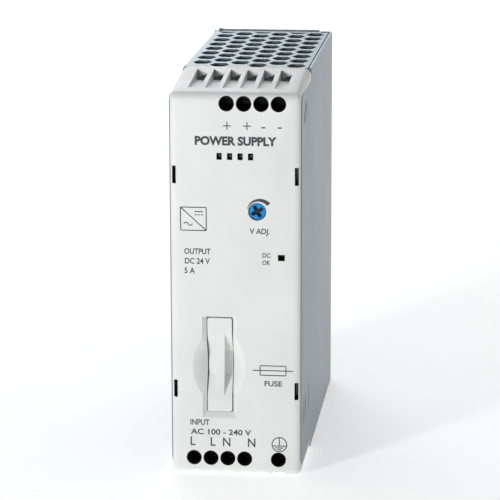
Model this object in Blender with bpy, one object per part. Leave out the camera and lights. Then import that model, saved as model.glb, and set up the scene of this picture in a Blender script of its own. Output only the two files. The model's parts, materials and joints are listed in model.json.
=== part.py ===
"""DIN rail power supply: a slim sheet-metal case with a moulded front, built from its separate pieces.

Run it with: blender --background --python part.py
Lengths are in millimetres and become metres where the meshes are made. The front faces -Y and +Z is up.
The object stands on z = 0, with its bounding box centred on the Z axis.
A depth is measured back from the front face.
"""

import itertools
import math

import bmesh
import bpy
from mathutils import Vector

MM = 0.001

# Case
WIDTH = 40.0
HEIGHT = 121.5
CASE_DEPTH = 110.0
CLIP_DEPTH = 5.0
SHEET = 0.8
GAP = 0.3
HALF = WIDTH / 2
FRONT = -(CASE_DEPTH + CLIP_DEPTH) / 2
INSIDE = HALF - SHEET - GAP

# Front moulding
HOOD_DEPTH = 30.9
TOP_TAB = 3.8
BOTTOM_TAB = 3.0
TOP_CREASE = 118.4
BOTTOM_CREASE = 1.2
RIM = 0.9
PLATE = 2.2
FLANGE_DEPTH = 8.0
FLANGE_WALL = 1.4
TUNNEL_DEPTH = 7.9
TUNNEL_HALF = 3.4
LAP = 0.4
SURROUND_SIZE, SURROUND_BACK = (19.0, 36.0), 5.0

# Terminals
PITCH = 5.2
TERMINAL_X = [(place - 2.5) * PITCH for place in range(6)]
OUTPUT_PLACES = (2, 3, 4, 5)
INPUT_PLACES = (0, 1, 2, 3, 5)
OUTPUT_Z = 115.35
INPUT_Z = 5.12
SCREW_HOLE_R = 2.33
FUNNEL_WIDTH = 3.4
FUNNEL_FRONT = 8.0
FUNNEL_SILL = 19.0
FUNNEL_BACK = 26.5
POLE_HALF = 2.2
BLOCK_FRONT = 8.2
BLOCK_BACK = 28.0
SEAT_FRONT = 10.7
SEAT_BACK = 11.7
HEAD_R = 1.7
HEAD_FRONT = 8.6
HEAD_BACK = 10.4
SHANK_R = 1.25
SHANK_TIP = 19.7
CAGE_FRONT = 15.2
CAGE_BACK = 26.4

# Grille in the top and the bottom of the case
GRILLE_COLUMNS = 6
COLUMN_PITCH = 5.95
HALF_ROW = 4.76
FIRST_ROW_DEPTH = 40.4
HOLE_WIDTH = 5.4
HOLE_LENGTH = 6.5

# Controls on the front
LATCH_X, LATCH_Z, LATCH_SIZE = 18.5, (93.6, 27.0), (1.15, 5.4)
PIN_X, PIN_Z, PIN_WINDOW = (-4.8, -1.65, 1.5, 4.65), 99.4, (1.55, 2.05)
TRIMMER_X, TRIMMER_Z, ROTOR_R = 6.6, 82.7, 2.55
LED_X, LED_Z, LED_WINDOW = 13.9, 68.65, (2.1, 1.9)

# Fuse drawer
FUSE_X, FUSE_Z = -5.0, 34.55
DRAWER_HALF_X, DRAWER_HALF_Z, DRAWER_BACK = 3.75, 14.75, 18.0
DRAWER_SLACK = 0.3
DISH_HALF_X, DISH_HALF_Z, DISH_DEPTH = 7.85, 11.0, 2.6
RECESS_HALF_X, RECESS_HALF_Z, RECESS_DEPTH = 5.2, 16.2, 1.0
RIDGE_HALF = 1.3
SCOOP_R, SCOOP_CENTRE = 9.7, -4.0
FUSE_DEPTH, FUSE_R, FUSE_HALF, CAP_LENGTH = 11.5, 2.6, 10.0, 5.0
SOCKET_BACK = 21.0

# DIN rail clip, for a 35 mm rail
RAIL_Z = 61.0
RAIL_HALF = 17.5
BRACKET_FRONT = CASE_DEPTH + 0.2
BRACKET_FACE = CASE_DEPTH + 2.2
CLIP_BACK = CASE_DEPTH + CLIP_DEPTH
PAD_HALF, PAD_RISE = 4.5, 0.4
RAIL_SLOT = 1.7
RAIL_CLEARANCE, LIP_REACH = 0.4, 2.3
BRACKET_HALF, BRACKET_LOW, BRACKET_HIGH = 15.0, 16.0, 94.0
HOOK_INNER, HOOK_OUTER, HOOK_HEIGHT = 5.0, 12.0, 4.5
SLIDER_HALF, SLIDER_LOW = 6.0, 6.0
WING_HALF, WING_LOW, WING_HIGH = 7.2, 20.0, 38.0
SPRING_SEAT_Z, SPRING_TOP_Z = 25.5, 35.7
SPRING_TURNS, SPRING_R, SPRING_WIRE = 7, 0.95, 0.22

# Screws that hold the case and the clip
CASE_SCREW_HOLE_R = 1.7
LID_SCREW_X, LID_SCREW_Z = -15.0, (9.0, 112.0)
BRACKET_SCREW_X, BRACKET_SCREW_Z = (-10.0, 10.0), 88.0
FLANGE_EDGE = -12.0

# Boards
INDICATOR_FRONT = 8.3
BOARD_LEFT, BOARD_RIGHT = -15.6, -14.0
BOARD_POSTS = ((16.0, 60.0), (100.0, 98.0))
PARTS_LEFT = BOARD_RIGHT + GAP

ROUND = 16

WHITE_PLASTIC = ((0.80, 0.81, 0.80), 0.45, 0.0)
STEEL = ((0.55, 0.60, 0.63), 0.42, 0.9)
ZINC = ((0.62, 0.63, 0.64), 0.35, 1.0)
BRASS = ((0.72, 0.62, 0.40), 0.35, 1.0)
GREY_PLASTIC = ((0.20, 0.21, 0.22), 0.5, 0.0)
BLACK_PLASTIC = ((0.02, 0.02, 0.02), 0.5, 0.0)
BLUE_PLASTIC = ((0.02, 0.28, 0.66), 0.35, 0.0)
BOARD_GREEN = ((0.04, 0.20, 0.10), 0.5, 0.0)
GLASS = ((0.80, 0.88, 0.86), 0.05, 0.0)
COPPER = ((0.72, 0.35, 0.16), 0.35, 0.9)
FERRITE = ((0.05, 0.05, 0.055), 0.7, 0.0)
YELLOW_TAPE = ((0.75, 0.60, 0.12), 0.5, 0.0)
BLUE_SLEEVE = ((0.03, 0.06, 0.20), 0.35, 0.0)
ALUMINIUM = ((0.70, 0.71, 0.72), 0.4, 1.0)
LED_GREEN = ((0.10, 0.35, 0.12), 0.2, 0.0)


# Closed shapes, each a list of corners (x, depth, z) and a list of faces

def block(low, high):
    corners = list(itertools.product(*zip(low, high)))
    faces = [(0, 1, 3, 2), (4, 6, 7, 5), (0, 4, 5, 1), (2, 3, 7, 6), (0, 2, 6, 4), (1, 5, 7, 3)]
    return corners, faces


def on_axis(axis, along, pair):
    """A corner from its place along one axis and the pair of its other two coordinates, in X, Y, Z order."""
    corner = list(pair)
    corner.insert("XYZ".index(axis), along)
    return tuple(corner)


def prism(axis, outline, start, end):
    """An outline in the plane across the axis, carried from start to end along it."""
    count = len(outline)
    corners = [on_axis(axis, along, pair) for along in (start, end) for pair in outline]
    faces = [tuple(reversed(range(count))), tuple(range(count, 2 * count))]
    faces += [(i, (i + 1) % count, count + (i + 1) % count, count + i) for i in range(count)]
    return corners, faces


def ellipse(centre, half, sides=ROUND):
    turns = [math.tau * (i + 0.5) / sides for i in range(sides)]
    return [(centre[0] + half[0] * math.cos(t), centre[1] + half[1] * math.sin(t)) for t in turns]


def rod(axis, centre, radius, start, end, sides=ROUND):
    return prism(axis, ellipse(centre, (radius, radius), sides), start, end)


def torus(centre, ring_r, wire_r, around=24, across=10):
    """A ring whose axis is X."""
    corners, faces = [], []
    for i in range(around):
        turn = math.tau * i / around
        for j in range(across):
            bend = math.tau * j / across
            reach = ring_r + wire_r * math.cos(bend)
            corners.append((centre[0] + wire_r * math.sin(bend), centre[1] + reach * math.cos(turn),
                            centre[2] + reach * math.sin(turn)))
            ahead, beside = (i + 1) % around * across, (j + 1) % across
            faces.append((i * across + j, ahead + j, ahead + beside, i * across + beside))
    return corners, faces


# Objects

def material(name, look):
    colour, roughness, metallic = look
    made = bpy.data.materials.new(name)
    made.use_nodes = True
    surface = made.node_tree.nodes["Principled BSDF"]
    surface.inputs["Base Color"].default_value = (*colour, 1)
    surface.inputs["Roughness"].default_value = roughness
    surface.inputs["Metallic"].default_value = metallic
    return made


def to_world(corner):
    return Vector((corner[0], FRONT + corner[1], corner[2])) * MM


def mesh_of(name, shapes, origin):
    """One mesh of several closed shapes, its faces turned out and its corners counted from the origin."""
    bm = bmesh.new()
    for corners, faces in shapes:
        made = [bm.verts.new(to_world(corner) - origin) for corner in corners]
        for face in faces:
            bm.faces.new([made[i] for i in face])
    bmesh.ops.recalc_face_normals(bm, faces=bm.faces)
    mesh = bpy.data.meshes.new(name)
    bm.to_mesh(mesh)
    bm.free()
    return mesh


def link(name, data, origin):
    made = bpy.data.objects.new(name, data)
    made.location = origin
    bpy.context.scene.collection.objects.link(made)
    return made


def boolean(target, shapes, operation):
    """Adds the shapes to the target, or cuts them out of it, with a hidden helper object."""
    name = f"{target.name}_{operation.lower()}_{len(target.modifiers)}"
    helper = link(name, mesh_of(name, shapes, target.location), target.location)
    helper.hide_render = True
    helper.display_type = "WIRE"
    modifier = target.modifiers.new(operation.title(), "BOOLEAN")
    modifier.object = helper
    modifier.operation = operation
    modifier.use_self = True


def piece(name, look, base, add=(), cut=(), origin=(0, -FRONT, 0), smooth=False):
    """One solid, with its object origin at the given place. Shapes to add must overlap the base."""
    place = to_world(origin)
    made = link(name, mesh_of(name, [base], place), place)
    made.data.materials.append(material(name, look))
    if add:
        boolean(made, add, "UNION")
    if cut:
        boolean(made, cut, "DIFFERENCE")
    if smooth:
        made.data.polygons.foreach_set("use_smooth", [True] * len(made.data.polygons))
        made.data.set_sharp_from_angle(angle=math.radians(40))
    return made


def window(centre_x, centre_z, size, start, end):
    half_x, half_z = size[0] / 2, size[1] / 2
    return block((centre_x - half_x, start, centre_z - half_z), (centre_x + half_x, end, centre_z + half_z))


# Case

def tunnel(first, last, heights):
    """The bar behind a row of screw holes."""
    low, high = heights
    return block((TERMINAL_X[first] - 3, 1, low), (TERMINAL_X[last] + 3, TUNNEL_DEPTH, high))


def front_cover():
    top, bottom = HEIGHT - TOP_TAB, BOTTOM_TAB
    profile = [(0, BOTTOM_CREASE), (0, TOP_CREASE), (HOOD_DEPTH, HEIGHT), (HOOD_DEPTH, top),
               (RIM, top), (RIM, bottom), (HOOD_DEPTH, bottom), (HOOD_DEPTH, 0), (BOTTOM_CREASE, 0)]
    upper, lower = (OUTPUT_Z - TUNNEL_HALF, top + LAP), (bottom - LAP, INPUT_Z + TUNNEL_HALF)
    tunnels = [tunnel(2, 5, upper), tunnel(0, 3, lower), tunnel(5, 5, lower)]
    surround = window(FUSE_X, FUSE_Z, SURROUND_SIZE, 1, SURROUND_BACK)
    add = [block((-INSIDE, 0.5, bottom - LAP), (INSIDE, PLATE, top + LAP)), surround, *tunnels]
    for side in (-1, 1):
        near, far = sorted((side * INSIDE, side * (INSIDE - FLANGE_WALL)))
        add.append(block((near, 0.5, bottom - LAP), (far, FLANGE_DEPTH, top + LAP)))
    cut = [rod("Y", (TERMINAL_X[place], z), SCREW_HOLE_R, -1, TUNNEL_DEPTH + 1)
           for places, z in ((OUTPUT_PLACES, OUTPUT_Z), (INPUT_PLACES, INPUT_Z)) for place in places]
    cut += funnels()
    cut += [window(side * LATCH_X, z, LATCH_SIZE, -1, 3) for side in (-1, 1) for z in LATCH_Z]
    cut += [window(x, PIN_Z, PIN_WINDOW, -1, PLATE + 1) for x in PIN_X]
    cut.append(window(LED_X, LED_Z, LED_WINDOW, -1, PLATE + 1))
    cut.append(rod("Y", (TRIMMER_X, TRIMMER_Z), ROTOR_R + 0.3, -1, PLATE + 1))
    cut.append(window(FUSE_X, FUSE_Z, (2 * RECESS_HALF_X, 2 * RECESS_HALF_Z), -1, RECESS_DEPTH))
    cut.append(prism("Y", ellipse((FUSE_X, FUSE_Z), (DISH_HALF_X, DISH_HALF_Z), 24), -1, DISH_DEPTH))
    opening = (2 * (DRAWER_HALF_X + DRAWER_SLACK), 2 * (DRAWER_HALF_Z + DRAWER_SLACK))
    cut.append(window(FUSE_X, FUSE_Z, opening, -1, 6))
    piece("front_cover", WHITE_PLASTIC, prism("X", profile, -HALF, HALF), add, cut)


def funnels():
    """The wire entries through the top and the bottom of the front moulding."""
    top, bottom = HEIGHT - TOP_TAB, BOTTOM_TAB
    above, below = HEIGHT + 1, -1
    upper = [(FUNNEL_FRONT, above), (FUNNEL_FRONT, TOP_CREASE + 0.7),
             (FUNNEL_SILL, top - 0.5), (FUNNEL_BACK, top - 0.5), (FUNNEL_BACK, above)]
    lower = [(-1, below), (-1, 0.8), (FUNNEL_SILL, bottom + 0.5),
             (FUNNEL_BACK, bottom + 0.5), (FUNNEL_BACK, below)]
    return [prism("X", outline, x - FUNNEL_WIDTH / 2, x + FUNNEL_WIDTH / 2)
            for x in TERMINAL_X for outline in (upper, lower)]


def grille_holes():
    """Columns of long hexagonal holes in the top and the bottom, every second one half a row behind."""
    holes = []
    for column in range(GRILLE_COLUMNS):
        x = (column - (GRILLE_COLUMNS - 1) / 2) * COLUMN_PITCH
        first = column % 2
        for row in range(7 + first):
            depth = FIRST_ROW_DEPTH + (2 * row - first) * HALF_ROW
            tip, shoulder, half = HOLE_WIDTH / 2, HOLE_WIDTH / 4, HOLE_LENGTH / 2
            outline = [(x + tip, depth), (x + shoulder, depth + half), (x - shoulder, depth + half),
                       (x - tip, depth), (x - shoulder, depth - half), (x + shoulder, depth - half)]
            holes += [prism("Z", outline, z - 1, z + SHEET + 1) for z in (0, HEIGHT - SHEET)]
    return holes


def hood_clearance():
    """What the moulding's hoods take from the front corners of the sheet metal."""
    top, bottom = HEIGHT - TOP_TAB - GAP, BOTTOM_TAB + GAP
    return [block((-HALF - 1, 0, top), (HALF + 1, HOOD_DEPTH + GAP, HEIGHT + 1)),
            block((-HALF - 1, 0, -1), (HALF + 1, HOOD_DEPTH + GAP, bottom))]


def housing_tray():
    """The left wall, the top grille and the bottom grille, folded from one sheet."""
    wall, roof = -HALF + SHEET, HEIGHT - SHEET
    section = [(-HALF, 0), (INSIDE, 0), (INSIDE, SHEET), (wall, SHEET),
               (wall, roof), (INSIDE, roof), (INSIDE, HEIGHT), (-HALF, HEIGHT)]
    back = CASE_DEPTH - SHEET - GAP
    flange = block((-HALF + SHEET / 2, back - SHEET, SHEET / 2), (FLANGE_EDGE, back, HEIGHT - SHEET / 2))
    cut = hood_clearance() + grille_holes()
    cut += [rod("Y", (LID_SCREW_X, z), CASE_SCREW_HOLE_R, back - 3, back + 1) for z in LID_SCREW_Z]
    piece("housing_tray", STEEL, prism("Y", section, RIM + GAP, back), [flange], cut)


def housing_lid():
    """The right wall and the back, folded from one sheet."""
    section = [(HALF - SHEET, RIM + GAP), (HALF, RIM + GAP), (HALF, CASE_DEPTH), (-HALF, CASE_DEPTH),
               (-HALF, CASE_DEPTH - SHEET), (HALF - SHEET, CASE_DEPTH - SHEET)]
    places = [(LID_SCREW_X, z) for z in LID_SCREW_Z] + [(x, BRACKET_SCREW_Z) for x in BRACKET_SCREW_X]
    cut = hood_clearance()
    cut += [rod("Y", place, CASE_SCREW_HOLE_R, CASE_DEPTH - 2, CASE_DEPTH + 1) for place in places]
    piece("housing_lid", STEEL, prism("Z", section, 0, HEIGHT), cut=cut)


def machine_screw(name, axis, centre, seat, length, outward):
    """A pan-head screw with a cross in its head. The head sits on seat and the shank reaches length in."""
    head_r, head_height, shank_r = 2.6, 1.5, 1.4
    lift = 0.1 * outward
    span = sorted((seat + lift, seat + lift + outward * head_height))
    shank = sorted((seat + lift + outward * 0.5, seat - outward * length))
    recess = sorted((seat + lift + outward * 0.7, seat + lift + outward * 3))
    cross = []
    for wide, tall in ((0.35, 1.5), (1.5, 0.35)):
        corners = [(-wide, -tall), (wide, -tall), (wide, tall), (-wide, tall)]
        cross.append(prism(axis, [(centre[0] + u, centre[1] + v) for u, v in corners], *recess))
    head, stem = rod(axis, centre, head_r, *span), rod(axis, centre, shank_r, *shank)
    piece(name, ZINC, head, [stem], cross, on_axis(axis, seat, centre), True)


def case_screws():
    for name, z in zip(("lower", "upper"), LID_SCREW_Z):
        machine_screw(f"lid_screw_{name}", "Y", (LID_SCREW_X, z), CASE_DEPTH, 4.0, 1)
    for name, x in zip(("left", "right"), BRACKET_SCREW_X):
        machine_screw(f"bracket_screw_{name}", "Y", (x, BRACKET_SCREW_Z), BRACKET_FACE, 5.0, 1)


# DIN rail clip

def din_bracket():
    """A plate with two hooks over the rail's upper edge, a pad for its web, and guides for the slider."""
    root, hook_z = BRACKET_FACE - 0.5, RAIL_Z + RAIL_HALF + RAIL_CLEARANCE
    lip_z, slot_back, hook_top = hook_z - LIP_REACH, BRACKET_FACE + RAIL_SLOT, hook_z + HOOK_HEIGHT
    hook = [(root, hook_z), (slot_back, hook_z), (slot_back, lip_z),
            (CLIP_BACK, lip_z), (CLIP_BACK, hook_top), (root, hook_top)]
    add = [prism("X", hook, -HOOK_OUTER, -HOOK_INNER), prism("X", hook, HOOK_INNER, HOOK_OUTER)]
    slider_top = RAIL_Z - RAIL_HALF + LIP_REACH
    add.append(block((-PAD_HALF, root, slider_top + 1), (PAD_HALF, BRACKET_FACE + PAD_RISE, hook_z)))
    outer, inner, lip, wing_back = WING_HALF + 2.3, WING_HALF + 0.3, SLIDER_HALF + 0.3, BRACKET_FACE + 1.6
    for side in (-1, 1):
        guide = [(side * inner, root), (side * outer, root), (side * outer, CLIP_BACK),
                 (side * lip, CLIP_BACK), (side * lip, wing_back), (side * inner, wing_back)]
        add.append(prism("Z", guide, WING_LOW - 1, WING_HIGH + 1))
    add.append(block((-1.4, root, SPRING_SEAT_Z - 1.6), (1.4, CLIP_BACK - 0.3, SPRING_SEAT_Z - 0.15)))
    cut = [rod("Y", (x, BRACKET_SCREW_Z), CASE_SCREW_HOLE_R, CASE_DEPTH, CLIP_BACK) for x in BRACKET_SCREW_X]
    plate = block((-BRACKET_HALF, BRACKET_FRONT, BRACKET_LOW), (BRACKET_HALF, BRACKET_FACE, BRACKET_HIGH))
    piece("din_bracket", GREY_PLASTIC, plate, add, cut)


def din_slider():
    """The foot that grips the rail's lower edge. It slides down against the spring."""
    front, lip_front = BRACKET_FACE + GAP, BRACKET_FACE + RAIL_SLOT
    lip_low = RAIL_Z - RAIL_HALF - RAIL_CLEARANCE
    body = [(front, SLIDER_LOW), (CLIP_BACK, SLIDER_LOW), (CLIP_BACK, lip_low + LIP_REACH),
            (lip_front, lip_low + LIP_REACH), (lip_front, lip_low), (front, lip_low)]
    wings = block((-WING_HALF, front, WING_LOW), (WING_HALF, front + 1.0, WING_HIGH))
    spring_space = block((-1.8, CASE_DEPTH, SPRING_SEAT_Z - 2.1), (1.8, CLIP_BACK + 1, SPRING_TOP_Z + 0.15))
    tool_slot = block((-2.2, CASE_DEPTH, SLIDER_LOW + 2), (2.2, CLIP_BACK + 1, SLIDER_LOW + 4.2))
    cut = [spring_space, tool_slot]
    piece("din_slider", GREY_PLASTIC, prism("X", body, -SLIDER_HALF, SLIDER_HALF), [wings], cut,
          (0, front, SPRING_SEAT_Z))


def din_spring():
    """A compression spring between the bracket's seat and the top of the slider's window."""
    curve = bpy.data.curves.new("din_spring", "CURVE")
    curve.dimensions = "3D"
    curve.bevel_depth = SPRING_WIRE * MM
    curve.bevel_resolution = 1
    curve.use_fill_caps = True
    steps = SPRING_TURNS * 9
    low, high = SPRING_SEAT_Z + SPRING_WIRE, SPRING_TOP_Z - SPRING_WIRE
    middle = BRACKET_FACE + GAP + 1.25
    base = to_world((0, middle, SPRING_SEAT_Z))
    spline = curve.splines.new("POLY")
    spline.points.add(steps)
    for i, point in enumerate(spline.points):
        turn = math.tau * SPRING_TURNS * i / steps
        height = low + (high - low) * i / steps
        corner = (SPRING_R * math.cos(turn), middle + SPRING_R * math.sin(turn), height)
        point.co = (*(to_world(corner) - base), 1)
    made = link("din_spring", curve, base)
    curve.materials.append(material("din_spring", ZINC))
    return made


# Terminals: out is +1 where the wires enter from above and -1 where they enter from below

def terminal_block(name, places, screw_z, out):
    edge = screw_z + out * 1.76
    floor = screw_z - out * 3.2
    low, high = sorted((edge, screw_z - out * 9))
    xs = [TERMINAL_X[p] for p in places]
    half = PITCH / 2 + 0.3
    body = block((min(xs) - half, BLOCK_FRONT, low), (max(xs) + half, BLOCK_BACK, high))
    cut, bars = [], []
    for x in xs:
        outside = edge + out
        clamp, pocket = sorted((floor, outside)), sorted((screw_z - out * 2.2, outside))
        left, right = x - POLE_HALF, x + POLE_HALF
        cut.append(block((left, SEAT_BACK, clamp[0]), (right, BLOCK_BACK - 1, clamp[1])))
        cut.append(block((left, BLOCK_FRONT - 1, pocket[0]), (right, SEAT_FRONT, pocket[1])))
        cut.append(rod("Y", (x, screw_z), SHANK_R + 0.2, SEAT_FRONT - 1, SEAT_BACK + 1))
        bar = sorted((floor - out * 0.5, screw_z + out * 1.4))
        bars.append(block((x - 1.1, SHANK_TIP + 0.3, bar[0]), (x + 1.1, SHANK_TIP + 1.3, bar[1])))
    made = piece(name, GREY_PLASTIC, body, cut=cut)
    boolean(made, bars, "UNION")


def terminal_screw(name, x, z):
    head = rod("Y", (x, z), HEAD_R, HEAD_FRONT, HEAD_BACK)
    shank = rod("Y", (x, z), SHANK_R, HEAD_BACK - 0.5, SHANK_TIP)
    slot = block((x - 2, HEAD_FRONT - 1, z - 0.25), (x + 2, HEAD_FRONT + 0.8, z + 0.25))
    piece(name, ZINC, head, [shank], [slot], (x, HEAD_FRONT, z), True)


def terminal_cage(name, x, z, out):
    """A clamp ring: the screw turns in its front wall, and its back wall presses the wire on the bar."""
    low, high = sorted((z - out * 2.6, z + out * 1.2))
    ring = block((x - 2.0, CAGE_FRONT, low), (x + 2.0, CAGE_BACK, high))
    inside = block((x - 1.5, CAGE_FRONT + 1.2, low - 1), (x + 1.5, CAGE_BACK - 1.2, high + 1))
    thread = rod("Y", (x, z), SHANK_R + 0.1, CAGE_FRONT - 1, CAGE_FRONT + 1.6)
    piece(name, ZINC, ring, cut=[inside, thread], origin=(x, CAGE_FRONT, z))


def terminals():
    rows = (("output", OUTPUT_PLACES, OUTPUT_Z, 1), ("input", INPUT_PLACES, INPUT_Z, -1))
    for side, places, z, out in rows:
        terminal_block(f"{side}_terminal_block", places, z, out)
        for number, place in enumerate(places, 1):
            terminal_screw(f"{side}_screw_{number}", TERMINAL_X[place], z)
            terminal_cage(f"{side}_cage_{number}", TERMINAL_X[place], z, out)


# Fuse

def fuse_drawer():
    x, z = FUSE_X, FUSE_Z
    body = window(x, z, (2 * DRAWER_HALF_X, 2 * DRAWER_HALF_Z), 0.6, DRAWER_BACK)
    bay = block((x - 5, FUSE_DEPTH - FUSE_R - GAP, z - FUSE_HALF - GAP),
                (x + 5, FUSE_DEPTH + FUSE_R + GAP, z + FUSE_HALF + GAP))
    scoops = [rod("X", (SCOOP_CENTRE, z), SCOOP_R, *sorted((side * 5 + x, side * RIDGE_HALF + x)), 32)
              for side in (-1, 1)]
    piece("fuse_drawer", WHITE_PLASTIC, body, cut=[bay, *scoops], origin=(x, FUSE_DEPTH, z))


def fuse():
    x, z, depth = FUSE_X, FUSE_Z, FUSE_DEPTH
    centre, origin = (x, depth), (x, depth, z)
    tube_r, tube_half = 2.2, FUSE_HALF - 0.6
    piece("fuse_glass", GLASS, rod("Z", centre, tube_r, z - tube_half, z + tube_half),
          cut=[rod("Z", centre, 1.7, z - FUSE_HALF, z + FUSE_HALF)], origin=origin, smooth=True)
    piece("fuse_element", ZINC, rod("Z", centre, 0.2, z - tube_half, z + tube_half, 8), origin=origin)
    for name, out in (("upper", 1), ("lower", -1)):
        open_end, inner_end = z + out * (FUSE_HALF - CAP_LENGTH), z + out * (FUSE_HALF - 0.4)
        shell = rod("Z", centre, FUSE_R, *sorted((open_end, z + out * FUSE_HALF)))
        hollow = rod("Z", centre, FUSE_R - 0.25, *sorted((open_end - out, inner_end)))
        piece(f"fuse_cap_{name}", ZINC, shell, cut=[hollow], origin=origin, smooth=True)


def fuse_socket():
    x, z = FUSE_X, FUSE_Z
    half_x, half_z = DRAWER_HALF_X + DRAWER_SLACK, DRAWER_HALF_Z + DRAWER_SLACK
    body = block((x - half_x - 1, 5.3, z - half_z - 1.2), (x + half_x + 2.6, SOCKET_BACK, z + half_z + 1.2))
    cut = [block((x - half_x, 4, z - half_z), (x + half_x, SOCKET_BACK - 1.5, z + half_z))]
    wall = x + half_x
    for name, out in (("lower", -1), ("upper", 1)):
        low, high = z + out * (FUSE_HALF - 2.5) - 2, z + out * (FUSE_HALF - 2.5) + 2
        cut.append(block((wall - 1, 7, low - GAP), (wall + 1.4, SOCKET_BACK + 1, high + GAP)))
        blade = block((wall + 0.3, 8, low), (wall + 0.8, SOCKET_BACK + 5, high))
        piece(f"fuse_contact_{name}", BRASS, blade)
    piece("fuse_socket", BLACK_PLASTIC, body, cut=cut)


# Indicators and adjuster behind the front

def indicators():
    board = block((-8, INDICATOR_FRONT, 62), (16, INDICATOR_FRONT + 1.2, 103))
    piece("indicator_board", BOARD_GREEN, board)
    x, z = TRIMMER_X, TRIMMER_Z
    body = block((x - 3.4, PLATE + GAP, z - 3.4), (x + 3.4, INDICATOR_FRONT - GAP, z + 3.4))
    bore = rod("Y", (x, z), ROTOR_R + 0.15, 0, 6.5)
    piece("trimmer_body", GREY_PLASTIC, body, cut=[bore])
    cross = [window(x, z, size, 0, 1.5) for size in ((3.8, 0.7), (0.7, 3.8))]
    piece("trimmer_rotor", BLUE_PLASTIC, rod("Y", (x, z), ROTOR_R, 0.5, 6.2, 24), cut=cross,
          origin=(x, 0.5, z), smooth=True)
    base = block((PIN_X[0] - 1.6, 5.5, PIN_Z - 1.3), (PIN_X[-1] + 1.6, INDICATOR_FRONT - GAP, PIN_Z + 1.3))
    pins = [block((p - 0.32, 1.0, PIN_Z - 0.32), (p + 0.32, 6, PIN_Z + 0.32)) for p in PIN_X]
    piece("pin_header", BLACK_PLASTIC, base, pins)
    piece("status_led", LED_GREEN, rod("Y", (LED_X, LED_Z), 1.5, 3.2, INDICATOR_FRONT - GAP), smooth=True)


# Power stage on the main board

def power_board():
    cut = [rod("X", place, 1.7, BOARD_LEFT - 1, BOARD_RIGHT + 1) for place in BOARD_POSTS]
    piece("main_board", BOARD_GREEN, block((BOARD_LEFT, 12, 17), (BOARD_RIGHT, 104, 104)), cut=cut)
    for name, place in zip(("front", "rear"), BOARD_POSTS):
        spacer = rod("X", place, 2.8, -HALF + SHEET + GAP, BOARD_LEFT - GAP)
        hole = rod("X", place, 1.7, -HALF, BOARD_LEFT)
        piece(f"board_spacer_{name}", ALUMINIUM, spacer, cut=[hole], smooth=True)
        machine_screw(f"board_screw_{name}", "X", place, BOARD_RIGHT, 4.2, 1)


def power_parts():
    left = PARTS_LEFT
    piece("common_mode_choke", COPPER, torus((left + 3.6, 40, 30), 7.6, 3.4), smooth=True)
    piece("mains_filter_capacitor", YELLOW_TAPE, block((left, 26, 44), (left + 8.5, 44, 58)))
    piece("bridge_rectifier", BLACK_PLASTIC, block((left, 58, 20), (left + 3.6, 76, 38)))
    piece("bulk_capacitor", BLUE_SLEEVE, rod("Z", (left + 11.3, 90), 11, 20, 58, 24), smooth=True)
    piece("output_choke", COPPER, torus((left + 3.0, 36, 74), 6.6, 2.8), smooth=True)
    for number, z in enumerate((70.0, 82.0), 1):
        can = rod("X", (56, z), 5, left, left + 20, 20)
        piece(f"output_capacitor_{number}", BLUE_SLEEVE, can, smooth=True)


def transformer():
    """A ferrite core with two windows, and the winding round its middle leg."""
    x0, x1 = PARTS_LEFT + 6, PARTS_LEFT + 18
    d0, d1, z0, z1 = 68.0, 98.0, 64.0, 92.0
    spans = ((d0 + 4, d0 + 11), (d1 - 11, d1 - 4))
    windows = [block((x0 - 1, near, z0 + 4.5), (x1 + 1, far, z1 - 4.5)) for near, far in spans]
    piece("transformer_core", FERRITE, block((x0, d0, z0), (x1, d1, z1)), cut=windows)
    reach = 5.0
    coil = block((x0 - reach, d0 + 4.4, z0 + 4.9), (x1 + reach, d1 - 4.4, z1 - 4.9))
    leg = block((x0 - GAP, d0 + 11 - GAP, z0), (x1 + GAP, d1 - 11 + GAP, z1))
    piece("transformer_winding", YELLOW_TAPE, coil, cut=[leg])


def heatsink():
    """A finned bar against the right wall, with the transistor and the rectifier on it."""
    plate_x, fin_x, z0, z1 = 12.6, 18.6, 17.0, 60.0
    profile = [(plate_x, 30.0), (fin_x, 30.0)]
    for fin in range(6):
        near, far, root = 30.0 + fin * 7 + 2, 30.0 + fin * 7 + 7, plate_x + 2
        profile += [(fin_x, near), (root, near), (root, far), (fin_x, far)]
    profile += [(fin_x, 74.0), (plate_x, 74.0)]
    piece("heatsink", ALUMINIUM, prism("Z", profile, z0, z1))
    seat = plate_x - GAP
    for name, depth in (("power_transistor", 36.0), ("output_rectifier", 60.0)):
        piece(name, BLACK_PLASTIC, block((seat - 4.4, depth, 40), (seat, depth + 10, 55)))


def clear_scene():
    for old in list(bpy.data.objects):
        bpy.data.objects.remove(old, do_unlink=True)


def main():
    clear_scene()
    front_cover()
    housing_tray()
    housing_lid()
    case_screws()
    din_bracket()
    din_slider()
    din_spring()
    terminals()
    fuse_drawer()
    fuse()
    fuse_socket()
    indicators()
    power_board()
    power_parts()
    transformer()
    heatsink()


main()
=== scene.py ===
"""Looks of the DIN rail power supply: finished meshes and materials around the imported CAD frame.

Lengths in the helpers are millimetres: x across, depth back from the front face, z up. place() turns them into
metres in the frame's own axes. The front face looks along -Y.
"""

import json
import math

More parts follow.
